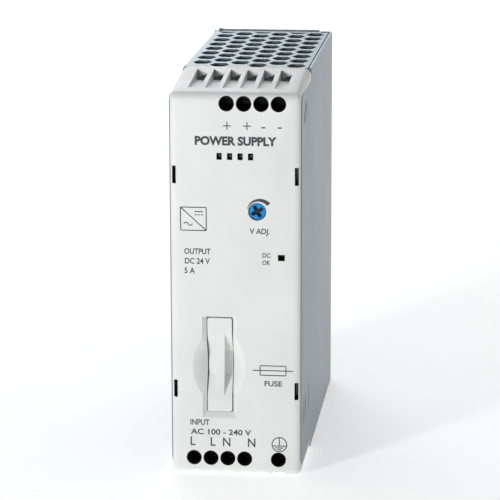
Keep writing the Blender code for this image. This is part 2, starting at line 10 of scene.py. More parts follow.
import bmesh
import bpy
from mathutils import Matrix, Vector


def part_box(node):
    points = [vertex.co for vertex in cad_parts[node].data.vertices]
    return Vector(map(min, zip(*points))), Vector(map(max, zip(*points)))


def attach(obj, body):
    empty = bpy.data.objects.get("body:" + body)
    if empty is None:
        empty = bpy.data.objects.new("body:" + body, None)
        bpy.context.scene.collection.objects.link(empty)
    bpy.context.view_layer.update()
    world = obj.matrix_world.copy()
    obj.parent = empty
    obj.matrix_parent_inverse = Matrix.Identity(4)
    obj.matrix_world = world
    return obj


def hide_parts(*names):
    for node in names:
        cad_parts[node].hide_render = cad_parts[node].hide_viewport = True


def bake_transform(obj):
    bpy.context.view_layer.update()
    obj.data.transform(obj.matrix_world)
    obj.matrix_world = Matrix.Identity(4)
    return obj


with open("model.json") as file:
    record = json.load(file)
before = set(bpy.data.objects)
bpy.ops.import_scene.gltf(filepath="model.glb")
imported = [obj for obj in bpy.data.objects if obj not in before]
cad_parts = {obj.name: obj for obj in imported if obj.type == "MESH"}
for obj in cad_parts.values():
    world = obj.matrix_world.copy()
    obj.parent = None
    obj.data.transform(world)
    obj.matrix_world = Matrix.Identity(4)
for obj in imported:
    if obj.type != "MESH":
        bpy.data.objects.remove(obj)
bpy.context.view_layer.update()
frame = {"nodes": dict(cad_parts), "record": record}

MM = 0.001


def node_box(name):
    """Lowest and highest corners of a CAD node in millimetres, as x, depth, z."""
    low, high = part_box(name)
    return ((low.x / MM, low.y / MM - FRONT, low.z / MM), (high.x / MM, high.y / MM - FRONT, high.z / MM))


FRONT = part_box("front_cover")[0].y / MM
COVER_LOW, COVER_HIGH = node_box("front_cover")
LID_LOW, LID_HIGH = node_box("housing_lid")
TRAY_LOW, TRAY_HIGH = node_box("housing_tray")
HALF = COVER_HIGH[0]
HEIGHT = COVER_HIGH[2]
HOOD_DEPTH = COVER_HIGH[1]
CASE_DEPTH = LID_HIGH[1]
SHEET = 0.8
TOP_TAB = HEIGHT - 3.8
BOTTOM_TAB = 3.0
TOP_CREASE = 118.4
PLATE = 2.2
PITCH = 5.2
TERMINAL_X = [(spot - 2.5) * PITCH for spot in range(6)]
OUTPUT_Z = 115.35
INPUT_Z = 5.12
OUTPUT_SPOTS = (2, 3, 4, 5)
INPUT_SPOTS = (0, 1, 2, 3, 5)
INK_LIFT = 0.03


def middle(name):
    low, high = node_box(name)
    return [(a + b) / 2 for a, b in zip(low, high)]


def place(x, depth, z):
    return Vector((x, FRONT + depth, z)) * MM


# ---------------------------------------------------------------- node materials

def shader(name, colour, roughness, metallic=0.0):
    made = bpy.data.materials.new(name)
    made.use_nodes = True
    tree = made.node_tree
    surface = tree.nodes["Principled BSDF"]
    surface.inputs["Base Color"].default_value = (*colour, 1)
    surface.inputs["Roughness"].default_value = roughness
    surface.inputs["Metallic"].default_value = metallic
    return made, tree, surface


def node(tree, kind, values=None, **settings):
    made = tree.nodes.new(kind)
    for key, value in settings.items():
        setattr(made, key, value)
    for key, value in (values or {}).items():
        made.inputs[key].default_value = value
    return made


def object_place(tree, stretch=(1, 1, 1)):
    """Object coordinates in metres, stretched along each axis."""
    source = node(tree, "ShaderNodeTexCoord")
    mapping = node(tree, "ShaderNodeMapping", {"Scale": stretch})
    tree.links.new(source.outputs["Object"], mapping.inputs["Vector"])
    return mapping.outputs["Vector"]


def noise(tree, vector, scale, detail=4.0, rough=0.55):
    made = node(tree, "ShaderNodeTexNoise", {"Scale": scale, "Detail": detail, "Roughness": rough})
    tree.links.new(vector, made.inputs["Vector"])
    return made.outputs["Fac"]


def ramp(tree, factor, low, high, start=0.3, end=0.7):
    made = node(tree, "ShaderNodeValToRGB")
    made.color_ramp.elements[0].position, made.color_ramp.elements[1].position = start, end
    made.color_ramp.elements[0].color, made.color_ramp.elements[1].color = low, high
    tree.links.new(factor, made.inputs["Fac"])
    return made.outputs["Color"]


def spread(tree, factor, low, high):
    made = node(tree, "ShaderNodeMapRange", {"From Min": 0.3, "From Max": 0.7, "To Min": low, "To Max": high})
    tree.links.new(factor, made.inputs["Value"])
    return made.outputs["Result"]


def bump(tree, surface, height, strength, distance):
    made = node(tree, "ShaderNodeBump", {"Strength": strength, "Distance": distance})
    tree.links.new(height, made.inputs["Height"])
    tree.links.new(made.outputs["Normal"], surface.inputs["Normal"])


def shade(colour, share):
    return (*[min(1, channel * share) for channel in colour], 1)


def moulded(name, colour, roughness=0.45, grain=2600, depth=0.00002, tone=0.03):
    """Moulded plastic: a fine spark-eroded grain, a faint cloudiness in its colour and uneven gloss."""
    made, tree, surface = shader(name, colour, roughness)
    where = object_place(tree)
    cloud = noise(tree, where, 60)
    fine = noise(tree, where, grain, 2.0)
    tree.links.new(ramp(tree, cloud, shade(colour, 1 - tone), shade(colour, 1 + tone)), surface.inputs["Base Color"])
    tree.links.new(spread(tree, cloud, roughness - 0.05, roughness + 0.06), surface.inputs["Roughness"])
    surface.inputs["Specular IOR Level"].default_value = 0.4
    bump(tree, surface, fine, 0.35, depth)
    return made


def rolled_sheet(name, colour, roughness=0.42, metallic=0.75):
    """Rolled sheet metal: long faint streaks, a fine pickled grain and small cloudy stains."""
    made, tree, surface = shader(name, colour, roughness, metallic)
    streaks = noise(tree, object_place(tree, (1, 1, 0.04)), 900, 3.0)
    cloud = noise(tree, object_place(tree), 45, 5.0)
    fine = noise(tree, object_place(tree), 3000, 2.0)
    mixed = node(tree, "ShaderNodeMix", {"Factor": 0.5}, data_type="FLOAT")
    tree.links.new(streaks, mixed.inputs[2])
    tree.links.new(cloud, mixed.inputs[3])
    tone = mixed.outputs[0]
    tree.links.new(ramp(tree, tone, shade(colour, 0.93), shade(colour, 1.07)), surface.inputs["Base Color"])
    tree.links.new(spread(tree, tone, roughness - 0.05, roughness + 0.07), surface.inputs["Roughness"])
    bump(tree, surface, fine, 0.25, 0.00001)
    return made


def plated(name, colour, roughness=0.3, scratches=500):
    """Plated metal with a fine turned or drawn grain and dulled patches."""
    made, tree, surface = shader(name, colour, roughness, 1.0)
    grain = noise(tree, object_place(tree, (1, 0.1, 1)), scratches * 4, 3.0)
    patches = noise(tree, object_place(tree), scratches, 4.0)
    tree.links.new(ramp(tree, patches, shade(colour, 0.82), shade(colour, 1.08)), surface.inputs["Base Color"])
    tree.links.new(spread(tree, patches, roughness - 0.06, roughness + 0.15), surface.inputs["Roughness"])
    bump(tree, surface, grain, 0.3, 0.00001)
    return made


def circuit_mask(name):
    """Solder mask over copper: traces show as slightly lighter lanes, with small tinned spots."""
    made, tree, surface = shader(name, (0.02, 0.12, 0.05), 0.35)
    where = object_place(tree)
    lanes = node(tree, "ShaderNodeTexBrick", {"Scale": 90.0, "Mortar Size": 0.08, "Color1": (0.02, 0.15, 0.06, 1),
                                              "Color2": (0.015, 0.11, 0.045, 1), "Mortar": (0.04, 0.24, 0.10, 1)})
    tree.links.new(where, lanes.inputs["Vector"])
    spots = node(tree, "ShaderNodeTexVoronoi", {"Scale": 260.0})
    tree.links.new(where, spots.inputs["Vector"])
    dots = ramp(tree, spots.outputs["Distance"], (1, 1, 1, 1), (0, 0, 0, 1), 0.16, 0.2)
    mixed = node(tree, "ShaderNodeMix", data_type="RGBA")
    mixed.inputs[7].default_value = (0.62, 0.62, 0.60, 1)
    tree.links.new(dots, mixed.inputs[0])
    tree.links.new(lanes.outputs["Color"], mixed.inputs[6])
    tree.links.new(mixed.outputs[2], surface.inputs["Base Color"])
    bump(tree, surface, lanes.outputs["Fac"], 0.3, 0.00003)
    return made


def enamelled(name, colour, scale=700):
    """Enamelled wire or tape: fine bands round the winding and a glossy coat."""
    made, tree, surface = shader(name, colour, 0.28)
    bands = node(tree, "ShaderNodeTexWave", {"Scale": scale, "Distortion": 1.5, "Detail": 2.0})
    tree.links.new(object_place(tree), bands.inputs["Vector"])
    tree.links.new(ramp(tree, bands.outputs["Fac"], shade(colour, 0.6), shade(colour, 1.15)), surface.inputs["Base Color"])
    surface.inputs["Coat Weight"].default_value = 0.4
    surface.inputs["Coat Roughness"].default_value = 0.15
    bump(tree, surface, bands.outputs["Fac"], 0.4, 0.00004)
    return made


def clear_glass(name):
    made, tree, surface = shader(name, (0.92, 0.97, 0.96), 0.04)
    surface.inputs["Transmission Weight"].default_value = 1.0
    surface.inputs["IOR"].default_value = 1.47
    smear = noise(tree, object_place(tree), 300, 3.0)
    tree.links.new(spread(tree, smear, 0.02, 0.08), surface.inputs["Roughness"])
    return made


def printed(name, colour):
    """Pad-printed ink: slightly uneven coverage."""
    made, tree, surface = shader(name, colour, 0.55)
    coverage = noise(tree, object_place(tree), 2500, 3.0)
    tree.links.new(ramp(tree, coverage, shade(colour, 0.85), shade(colour, 1.35)), surface.inputs["Base Color"])
    return made


LOOKS = {
    "front_moulding": moulded("front_moulding", (0.79, 0.80, 0.79), 0.42),
    "drawer_moulding": moulded("drawer_moulding", (0.80, 0.81, 0.80), 0.38),
    "case_sheet": rolled_sheet("case_sheet", (0.235, 0.285, 0.325)),
    "clip_plastic": moulded("clip_plastic", (0.045, 0.047, 0.05), 0.5, tone=0.15),
    "spring_steel": plated("spring_steel", (0.55, 0.56, 0.57), 0.25),
    "fuse_glass": clear_glass("fuse_glass"),
    "fuse_metal": plated("fuse_metal", (0.72, 0.71, 0.69), 0.2),
    "socket_plastic": moulded("socket_plastic", (0.02, 0.02, 0.02), 0.5, tone=0.2),
    "contact_brass": plated("contact_brass", (0.70, 0.52, 0.25), 0.28),
    "terminal_plastic": moulded("terminal_plastic", (0.035, 0.036, 0.034), 0.5, tone=0.2),
    "circuit_board": circuit_mask("circuit_board"),
    "trimmer_case": moulded("trimmer_case", (0.06, 0.065, 0.07), 0.45, tone=0.15),
    "trimmer_blue": moulded("trimmer_blue", (0.0, 0.26, 0.66), 0.35, 1800, 0.00001, 0.08),
    "pin_header": moulded("pin_header", (0.10, 0.10, 0.10), 0.35, tone=0.2),
    "led_lens": moulded("led_lens", (0.02, 0.06, 0.03), 0.12, 900, 0.00001, 0.1),
    "aluminium": plated("aluminium", (0.66, 0.67, 0.68), 0.38),
    "copper_winding": enamelled("copper_winding", (0.50, 0.20, 0.07)),
    "capacitor_case": moulded("capacitor_case", (0.62, 0.46, 0.06), 0.35),
    "black_epoxy": moulded("black_epoxy", (0.018, 0.018, 0.02), 0.55, tone=0.25),
    "capacitor_sleeve": moulded("capacitor_sleeve", (0.02, 0.035, 0.13), 0.25, 900, 0.00001, 0.1),
    "ferrite": moulded("ferrite", (0.035, 0.035, 0.038), 0.75, 1500, 0.00004, 0.25),
    "winding_tape": enamelled("winding_tape", (0.62, 0.45, 0.05), 350),
    "screw_zinc": plated("screw_zinc", (0.13, 0.13, 0.135), 0.5),
    "cage_zinc": plated("cage_zinc", (0.56, 0.57, 0.58), 0.36),
}
INK = printed("ink", (0.045, 0.048, 0.05))
# Painted shade: a dark navy for the adjuster's cross slot, standing in for the shadow inside it.
SLOT_BLUE = moulded("slot_painted_shade", (0.0, 0.02, 0.07), 0.4, 1800, 0.00001, 0.2)
# Painted shade: a near-black for the walls of the cover's holes and windows. The hidden cutters also use it.
DARK = moulded("opening_painted_shade", (0.006, 0.02, 0.006), 0.6)


# ---------------------------------------------------------------- mesh helpers

def mesh_object(name, bm, look, smooth_angle=35, recalc=True):
    if recalc:
        bmesh.ops.recalc_face_normals(bm, faces=bm.faces)
    mesh = bpy.data.meshes.new(name)
    bm.to_mesh(mesh)
    bm.free()
    mesh.materials.append(look)
    made = bpy.data.objects.new(name, mesh)
    bpy.context.scene.collection.objects.link(made)
    if smooth_angle:
        mesh.polygons.foreach_set("use_smooth", [True] * len(mesh.polygons))
        mesh.set_sharp_from_angle(angle=math.radians(smooth_angle))
    return made


def add_solid(bm, corners, faces):
    verts = [bm.verts.new(place(*corner)) for corner in corners]
    for face in faces:
        bm.faces.new([verts[i] for i in face])


def add_block(bm, low, high):
    corners = [(x, y, z) for x in (low[0], high[0]) for y in (low[1], high[1]) for z in (low[2], high[2])]
    add_solid(bm, corners, [(0, 1, 3, 2), (4, 6, 7, 5), (0, 4, 5, 1), (2, 3, 7, 6), (0, 2, 6, 4), (1, 5, 7, 3)])


def add_prism(bm, axis, outline, start, end):
    def corner(along, pair):
        parts = list(pair)
        parts.insert("XYZ".index(axis), along)
        return tuple(parts)
    count = len(outline)
    corners = [corner(along, pair) for along in (start, end) for pair in outline]
    faces = [tuple(reversed(range(count))), tuple(range(count, 2 * count))]
    faces += [(i, (i + 1) % count, count + (i + 1) % count, count + i) for i in range(count)]
    add_solid(bm, corners, faces)


def arc(centre, radius, start, end, steps=6):
    """Points on an arc, from the start angle to the end angle in degrees."""
    turns = [math.radians(start + (end - start) * i / steps) for i in range(steps + 1)]
    return [(centre[0] + radius * math.cos(t), centre[1] + radius * math.sin(t)) for t in turns]


def circle(centre, radius, sides=40):
    return arc(centre, radius, 0, 360 - 360 / sides, sides - 1)


def rounded(low, high, radius, steps=4):
    """A rectangle with round corners, as an outline."""
    (x0, z0), (x1, z1) = low, high
    return (arc((x1 - radius, z0 + radius), radius, -90, 0, steps) + arc((x1 - radius, z1 - radius), radius, 0, 90, steps)
            + arc((x0 + radius, z1 - radius), radius, 90, 180, steps) + arc((x0 + radius, z0 + radius), radius, 180, 270, steps))


def helper(name, build):
    """A hidden cutter made by build(bm)."""
    bm = bmesh.new()
    build(bm)
    bmesh.ops.triangulate(bm, faces=bm.faces)
    return mesh_object(name, bm, DARK, 0)


def apply_booleans(target, steps):
    """Carries out (operation, helper) steps in order, then removes the helpers."""
    for operation, other in steps:
        modifier = target.modifiers.new(operation, "BOOLEAN")
        modifier.object = other
        modifier.operation = operation
        modifier.solver = "EXACT"
        modifier.use_self = True
    bake(target)
    for _, other in steps:
        bpy.data.objects.remove(other)


def bake(target):
    """Replaces the object's mesh with its evaluated one and clears its modifiers."""
    graph = bpy.context.evaluated_depsgraph_get()
    graph.update()
    mesh = bpy.data.meshes.new_from_object(target.evaluated_get(graph))
    target.modifiers.clear()
    old, target.data = target.data, mesh
    bpy.data.meshes.remove(old)


WELD, FLAT = 0.002 * MM, math.radians(0.4)


def tidy_surface(target, smooth_angle=30):
    """Welds the specks that booleans leave, merges flat neighbours and shades by angle."""
    bm = bmesh.new()
    bm.from_mesh(target.data)
    bmesh.ops.remove_doubles(bm, verts=bm.verts, dist=WELD)
    bmesh.ops.dissolve_degenerate(bm, edges=bm.edges, dist=WELD)
    bmesh.ops.dissolve_limit(bm, angle_limit=FLAT, verts=bm.verts, edges=bm.edges, delimit={"MATERIAL"})
    bmesh.ops.recalc_face_normals(bm, faces=bm.faces)
    bm.to_mesh(target.data)
    bm.free()
    target.data.polygons.foreach_set("use_smooth", [True] * len(target.data.polygons))
    target.data.set_sharp_from_angle(angle=math.radians(smooth_angle))


def soften(target, width, segments=2, angle=35):
    """A fine bevel on the object's sharp edges."""
    modifier = target.modifiers.new("edge", "BEVEL")
    modifier.width = width * MM
    modifier.segments = segments
    modifier.limit_method = "ANGLE"
    modifier.angle_limit = math.radians(angle)
    modifier.harden_normals = True
    modifier.use_clamp_overlap = True
    return modifier


def finish_piece(target, body, slot, *nodes):
    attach(target, body)
    if nodes:
        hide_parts(*nodes)
    return target


# ---------------------------------------------------------------- front moulding

CORNER_R = 2.2
LOW_R, CREASE_R = 2.4, 2.6
SLOPE = math.atan2(HEIGHT - TOP_CREASE, HOOD_DEPTH)
RING_STEPS = 5


def surface_z(depth):
    """Height of the top hood's outer surface."""
    return TOP_CREASE + math.tan(SLOPE) * depth


def cover_outline(inset):
    """The moulding's side profile (depth, z), drawn in by inset everywhere but at its back."""
    crease_centre = (CREASE_R, surface_z(CREASE_R) - CREASE_R / math.cos(SLOPE))
    top = HEIGHT - inset / math.cos(SLOPE)
    outline = [(HOOD_DEPTH, inset)]
    outline += arc((LOW_R, LOW_R), LOW_R - inset, 270, 180)
    outline += arc(crease_centre, CREASE_R - inset, 180, 90 + math.degrees(SLOPE))
    outline.append((HOOD_DEPTH, top))
    return outline


def add_cover_blank(bm):
    """The solid blank of the moulding: one profile carried across, rounded over at both sides."""
    rings = []
    for side in (-1, 1):
        turns = [math.pi / 2 * i / RING_STEPS for i in range(RING_STEPS + 1)]
        for turn in (reversed(turns) if side < 0 else turns):
            x = side * (HALF - CORNER_R + CORNER_R * math.sin(turn))
            inset = CORNER_R * (1 - math.cos(turn))
            rings.append([bm.verts.new(place(x, *pair)) for pair in cover_outline(inset)])
    count = len(rings[0])
    for near, far in zip(rings, rings[1:]):
        for i in range(count):
            bm.faces.new((near[i], near[(i + 1) % count], far[(i + 1) % count], far[i]))
    bm.faces.new(list(reversed(rings[0])))
    bm.faces.new(rings[-1])


SIDE_FRONT = 1.2
SIDE_R = 2.2


def side_outline(margin, front=SIDE_FRONT, back=CASE_DEPTH):
    """The side sheet's outline (depth, z), grown by margin: it steps back round the moulding's two tabs."""
    top, low, step = TOP_TAB - 0.15 + margin, BOTTOM_TAB + 0.15 - margin, HOOD_DEPTH + 0.15 - margin
    front -= margin
    outline = arc((front + SIDE_R, low + SIDE_R), SIDE_R, 270, 180)
    outline += arc((front + SIDE_R, top - SIDE_R), SIDE_R, 180, 90)
    outline += arc((step - SIDE_R, top + SIDE_R), SIDE_R, 270, 360)
    outline += [(step, HEIGHT + margin), (back + margin, HEIGHT + margin), (back + margin, -margin), (step, -margin)]
    outline += arc((step - SIDE_R, low - SIDE_R), SIDE_R, 0, 90)
    return outline


FUNNEL_HALF = 1.9
FUNNEL_FRONT, FUNNEL_RIGHT_BACK, FUNNEL_LEFT_BACK = 6.4, 22.8, 28.0
FLOOR_FRONT_Z, FLOOR_BACK_Z = 118.55, 118.35
SHAFT_FRONT, SHAFT_BACK = 24.2, 28.2


def add_top_funnel(bm, x):
    """A wire funnel: a sunk floor runs back to a shaft, under a back edge that runs slantwise and overhangs."""
    left, right = x - FUNNEL_HALF, x + FUNNEL_HALF
    rim = [(left, FUNNEL_FRONT), (right, FUNNEL_FRONT), (right, FUNNEL_RIGHT_BACK), (left, FUNNEL_LEFT_BACK)]
    corners = [(*pair, HEIGHT + 3) for pair in rim] + [(*pair, surface_z(pair[1])) for pair in rim]
    corners += [(left, FUNNEL_FRONT, FLOOR_FRONT_Z), (right, FUNNEL_FRONT, FLOOR_FRONT_Z)]
    corners += [(right, SHAFT_BACK, FLOOR_BACK_Z), (left, SHAFT_BACK, FLOOR_BACK_Z)]
    faces = [(0, 1, 2, 3), (11, 10, 9, 8), (6, 7, 11), (6, 11, 10), (2, 3, 7, 6)]
    for near, far in ((0, 1), (1, 2), (3, 0), (4, 5), (5, 6), (7, 4)):
        faces.append((near, near + 4, far + 4, far))
    add_solid(bm, corners, faces)
    add_block(bm, (left + 0.05, SHAFT_FRONT, TOP_TAB - 3), (right - 0.05, SHAFT_BACK - 0.05, FLOOR_BACK_Z + 0.35))


NOTCH_HALF_FOOT, NOTCH_HALF_ROOF, NOTCH_RISE = 2.35, 1.75, 1.0


def add_bottom_funnel(bm, x):
    """The mirror funnel below. It runs out through the front's lower edge as a notch with slanted sides."""
    roof_back = BOTTOM_TAB - 0.9
    corners = []
    for depth, roof in ((-1, NOTCH_RISE), (SHAFT_BACK, roof_back)):
        corners += [(x - NOTCH_HALF_FOOT, depth, -1), (x + NOTCH_HALF_FOOT, depth, -1), (x + NOTCH_HALF_FOOT, depth, 0.05),
                    (x + NOTCH_HALF_ROOF, depth, roof), (x - NOTCH_HALF_ROOF, depth, roof), (x - NOTCH_HALF_FOOT, depth, 0.05)]
    faces = [(5, 4, 3, 2, 1, 0), (6, 7, 8, 9, 10, 11)]
    faces += [(i, (i + 1) % 6, 6 + (i + 1) % 6, 6 + i) for i in range(6)]
    add_solid(bm, corners, faces)
    add_block(bm, (x - 1.6, SHAFT_FRONT, 0.5), (x + 1.6, SHAFT_BACK - 0.1, BOTTOM_TAB + 3))


FUSE_X, _, FUSE_Z = middle("fuse_drawer")
DRAWER_LOW, DRAWER_HIGH = node_box("fuse_drawer")
DRAWER_HALF_X = (DRAWER_HIGH[0] - DRAWER_LOW[0]) / 2
DRAWER_HALF_Z = (DRAWER_HIGH[2] - DRAWER_LOW[2]) / 2
OPENING_SLACK = 0.3
RIM_HALF_X, RIM_TOP, RIM_FOOT = 5.0, 0.55, 1.9
DISH_HALF = (8.0, 11.6)
DISH_DEPTH, DISH_POWER = 8.6, 1.4
DISH_SIDES, DISH_RINGS = 64, 10


def add_dish(bm):
    """The scooped hollow round the drawer: it starts almost flush at its rim and steepens towards the drawer."""
    rings = []
    for step in range(DISH_RINGS + 1):
        share = 1 - step / DISH_RINGS * 0.9
        depth = 0.12 + DISH_DEPTH * (1 - share) ** DISH_POWER
        ring = [(FUSE_X + DISH_HALF[0] * share * u, depth, FUSE_Z - 0.4 + DISH_HALF[1] * share * v)
                for u, v in circle((0, 0), 1, DISH_SIDES)]
        if not rings:
            rings.append([bm.verts.new(place(x, -1, z)) for x, _, z in ring])
        rings.append([bm.verts.new(place(*corner)) for corner in ring])
    for near, far in zip(rings, rings[1:]):
        for i in range(DISH_SIDES):
            j = (i + 1) % DISH_SIDES
            bm.faces.new((near[i], near[j], far[j], far[i]))
    bm.faces.new(list(reversed(rings[0])))
    bm.faces.new(rings[-1])


def add_rim(bm):
    """The recess along the drawer: it slopes in from its rim, with a crisp step at its top."""
    top, foot = FUSE_Z + DRAWER_HALF_Z + RIM_TOP, FUSE_Z - DRAWER_HALF_Z - RIM_FOOT
    inner = DRAWER_HALF_X + OPENING_SLACK - 0.1
    corners = []
    for depth, half, low, high in ((-1, RIM_HALF_X + 1.3, foot - 1.2, top + 0.15), (1.3, inner, foot + 1.7, top - 0.1)):
        corners += [(FUSE_X - half, depth, low), (FUSE_X + half, depth, low), (FUSE_X + half, depth, high), (FUSE_X - half, depth, high)]
    faces = [(3, 2, 1, 0), (4, 5, 6, 7)] + [(i, (i + 1) % 4, 4 + (i + 1) % 4, 4 + i) for i in range(4)]
    add_solid(bm, corners, faces)


TRIMMER_X, _, TRIMMER_Z = middle("trimmer_rotor")
LED_X, _, LED_Z = middle("status_led")
PIN_XS = [-4.8, -1.65, 1.5, 4.65]
PIN_Z = middle("pin_header")[2]
LATCH_X, LATCH_ZS = 18.5, (93.6, 27.0)
HOLE_R = 2.33


def line_openings(cover):
    """Painted shade: gives the walls of the screw holes and windows a near-black colour that stands in for the shadow
    inside them.
    """
    rounds = [(TERMINAL_X[spot], OUTPUT_Z, HOLE_R) for spot in OUTPUT_SPOTS]
    rounds += [(TERMINAL_X[spot], INPUT_Z, HOLE_R) for spot in INPUT_SPOTS]
    boxes = [(x, PIN_Z, 0.78, 1.02) for x in PIN_XS] + [(LED_X, LED_Z, 1.05, 0.95)]
    boxes += [(side * LATCH_X, z, 0.58, 2.7) for side in (-1, 1) for z in LATCH_ZS]
    # Painted shade on the opening walls.
    cover.data.materials.append(DARK)
    for face in cover.data.polygons:
        x, depth, z = face.center.x / MM, face.center.y / MM - FRONT, face.center.z / MM
        if depth < 0.2 or abs(face.normal.y) > 0.5:
            continue
        in_round = any(math.hypot(x - cx, z - cz) < radius + 0.05 for cx, cz, radius in rounds)
        in_box = any(abs(x - cx) < wide + 0.05 and abs(z - cz) < tall + 0.05 for cx, cz, wide, tall in boxes)
        if in_round or in_box:
            face.material_index = 1


def front_cover():
    bm = bmesh.new()
    add_cover_blank(bm)
    cover = mesh_object("front_cover_shell", bm, LOOKS["front_moulding"], 0)
    wall = HALF - SHEET - 0.3

    def hollow(b):
        add_block(b, (-wall, 8.0, BOTTOM_TAB), (wall, HOOD_DEPTH + 9, TOP_TAB))
        add_block(b, (1.4 - wall, PLATE, BOTTOM_TAB + 0.9), (wall - 1.4, 8.5, TOP_TAB - 0.9))

    def sides(b):
        for side in (-1, 1):
            near, far = sorted((side * (wall - 0.02), side * (HALF + 1)))
            add_prism(b, "X", side_outline(0.15), near, far)

    def bosses(b):
        add_block(b, (TERMINAL_X[2] - 3, 1.2, OUTPUT_Z - 3.3), (TERMINAL_X[5] + 3, 7.9, TOP_TAB + 0.2))
        add_block(b, (TERMINAL_X[0] - 3, 1.2, BOTTOM_TAB - 0.2), (TERMINAL_X[3] + 3, 7.9, INPUT_Z + 3.3))
        add_block(b, (TERMINAL_X[5] - 3, 1.2, BOTTOM_TAB - 0.2), (TERMINAL_X[5] + 3, 7.9, INPUT_Z + 3.3))
        add_prism(b, "Y", rounded((FUSE_X - 9.5, FUSE_Z - 18), (FUSE_X + 9.5, FUSE_Z + 18), 2), 1.2, 5.6)

    def holes(b):
        for spot in OUTPUT_SPOTS:
            add_prism(b, "Y", circle((TERMINAL_X[spot], OUTPUT_Z), HOLE_R), -2, 9)
        for spot in INPUT_SPOTS:
            add_prism(b, "Y", circle((TERMINAL_X[spot], INPUT_Z), HOLE_R), -2, 9)
        for x in PIN_XS:
            add_block(b, (x - 0.78, -2, PIN_Z - 1.02), (x + 0.78, 4, PIN_Z + 1.02))
        add_block(b, (LED_X - 1.05, -2, LED_Z - 0.95), (LED_X + 1.05, 4, LED_Z + 0.95))
        add_prism(b, "Y", circle((TRIMMER_X, TRIMMER_Z), 2.75), -2, 4)
        for side in (-1, 1):
            for z in LATCH_ZS:
                x = side * LATCH_X
                add_block(b, (x - 0.58, -2, z - 2.7), (x + 0.58, 5, z + 2.7))

    def opening(b):
        half_x, half_z = DRAWER_HALF_X + OPENING_SLACK, DRAWER_HALF_Z + OPENING_SLACK
        add_prism(b, "Y", rounded((FUSE_X - half_x, FUSE_Z - half_z), (FUSE_X + half_x, FUSE_Z + half_z), 0.7), -3, 7)

    def funnels(b):
        for x in TERMINAL_X:
            add_top_funnel(b, x)
            add_bottom_funnel(b, x)

    steps = [("DIFFERENCE", helper("hollow", hollow)), ("DIFFERENCE", helper("sides", sides)), ("UNION", helper("bosses", bosses)),
             ("DIFFERENCE", helper("dish", add_dish)), ("DIFFERENCE", helper("rim", add_rim)),
             ("DIFFERENCE", helper("opening", opening)), ("DIFFERENCE", helper("holes", holes)),
             ("DIFFERENCE", helper("funnels", funnels))]
    apply_booleans(cover, steps)
    tidy_surface(cover)
    line_openings(cover)
    soften(cover, 0.12, 2, 40)
    finish_piece(cover, "root", "front_moulding", "front_cover")


# ---------------------------------------------------------------- sheet-metal case

BEND_R = 1.1
HOLE_HALF_WIDTH, HOLE_HALF_LENGTH = 3.1, 3.5
COLUMN_PITCH, HALF_ROW, FIRST_ROW = 5.95, 4.76, 39.8
LIP_DEPTH = 106.2


def add_vent(bm, x, depth, low, high):
    """One long hexagonal vent with slightly eased corners."""
    corners = [(HOLE_HALF_WIDTH, 0), (HOLE_HALF_WIDTH / 2, HOLE_HALF_LENGTH), (-HOLE_HALF_WIDTH / 2, HOLE_HALF_LENGTH),
               (-HOLE_HALF_WIDTH, 0), (-HOLE_HALF_WIDTH / 2, -HOLE_HALF_LENGTH), (HOLE_HALF_WIDTH / 2, -HOLE_HALF_LENGTH)]
    outline = []
    for i, corner in enumerate(corners):
        for other, share in ((corners[i - 1], 0.12), (corners[(i + 1) % 6], 0.12)):
            outline.append((x + corner[0] + (other[0] - corner[0]) * share, depth + corner[1] + (other[1] - corner[1]) * share))
    add_prism(bm, "Z", outline, low, high)


def vents(bm):
    for column in range(6):
        x = (column - 2.5) * COLUMN_PITCH
        first = column % 2
        for row in range(7 + first):
            depth = FIRST_ROW + (2 * row - first) * HALF_ROW
            add_vent(bm, x, depth, -2, SHEET + 0.4)
            add_vent(bm, x, depth, HEIGHT - SHEET - 0.4, HEIGHT + 2)
        if not first:
            near, far = FIRST_ROW + 14 * HALF_ROW - HOLE_HALF_LENGTH, LIP_DEPTH
            half = HOLE_HALF_WIDTH / 2
            outline = [(x - half, near), (x + half, near), (x + 2 * half, far), (x - 2 * half, far)]
            add_prism(bm, "Z", outline, HEIGHT - SHEET - 0.4, HEIGHT + 2)


def housing_tray():
    """Left wall and both grilles, bent from one sheet, with a flange behind and a notch at the back edge."""
    bm = bmesh.new()
    edge = TRAY_HIGH[0]
    outer = [(edge, 0)] + arc((-HALF + BEND_R, BEND_R), BEND_R, 270, 180, 5)
    outer += arc((-HALF + BEND_R, HEIGHT - BEND_R), BEND_R, 180, 90, 5) + [(edge, HEIGHT)]
    inner_r = BEND_R - SHEET
    inner = [(edge, HEIGHT - SHEET)] + arc((-HALF + BEND_R, HEIGHT - BEND_R), inner_r, 90, 180, 3)
    inner += arc((-HALF + BEND_R, BEND_R), inner_r, 180, 270, 3) + [(edge, SHEET)]
    add_prism(bm, "Y", outer + inner, SIDE_FRONT, TRAY_HIGH[1])
    tray = mesh_object("housing_tray_sheet", bm, LOOKS["case_sheet"], 0)

    def flange(b):
        add_block(b, (-HALF + 0.4, TRAY_HIGH[1] - SHEET, 0.4), (-12, TRAY_HIGH[1], HEIGHT - 0.4))

    def outside(b):
        add_prism(b, "X", side_outline(0), -HALF - 1, HALF + 1)

    def notch(b):
        add_block(b, (16.4, TRAY_HIGH[1] - 2.2, HEIGHT - 2), (HALF, TRAY_HIGH[1] + 1, HEIGHT + 1))

    apply_booleans(tray, [("UNION", helper("flange", flange)), ("INTERSECT", helper("outside", outside)),
                          ("DIFFERENCE", helper("vents", vents)), ("DIFFERENCE", helper("lid_holes", lid_holes)),
                          ("DIFFERENCE", helper("notch", notch))])
    tidy_surface(tray)
    soften(tray, 0.1, 2, 40)
    finish_piece(tray, "root", "case_sheet", "housing_tray")


def lid_holes(bm):
    for name in ("lid_screw_lower", "lid_screw_upper", "bracket_screw_left", "bracket_screw_right"):
        x, _, z = middle(name)
        add_prism(bm, "Y", circle((x, z), 1.7, 24), CASE_DEPTH - 4, CASE_DEPTH + 1)


LIP_RISE = 0.45


